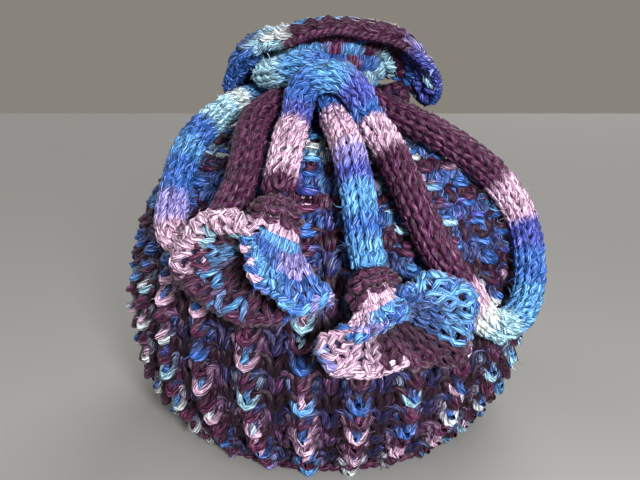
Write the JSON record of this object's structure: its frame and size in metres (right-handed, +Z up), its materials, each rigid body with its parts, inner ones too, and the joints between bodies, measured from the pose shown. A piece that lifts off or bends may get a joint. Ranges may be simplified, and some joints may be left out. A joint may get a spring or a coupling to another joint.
{
  "type": "tea cosy",
  "caption": "Knitted tea cosy in ribbed variegated yarn, open at the spout and handle, with a ruffled top gathered by a bow-tied cord that ends in knitted flowers.",
  "frame": {"origin": "middle of the hem's ring, at the level it stands on", "axes": "+Z up to the frill; +X towards the handle's slit, -X towards the spout's slit; -Y the front, where the bow and the flowers hang"},
  "size_m": [0.2034, 0.2173, 0.1964],
  "materials": {
    "variegated_rib_knit": "chunky doubled yarn, silky and slightly fuzzy, dyed in runs of blue, plum, mint and pale pink",
    "variegated_cord_knit": "knitted round cord, silky, dyed in long runs of plum, blue, mint and pale pink",
    "variegated_flower_knit": "knitted petals, silky and slightly fuzzy, plum buds with pink and blue petals"
  },
  "bodies": {
    "root": {"panel_front": "variegated_rib_knit", "panel_back": "variegated_rib_knit", "drawstring": "variegated_cord_knit", "drawstring_end": "variegated_cord_knit", "flower_left": "variegated_flower_knit", "flower_right": "variegated_flower_knit"}
  },
  "joints": []
}
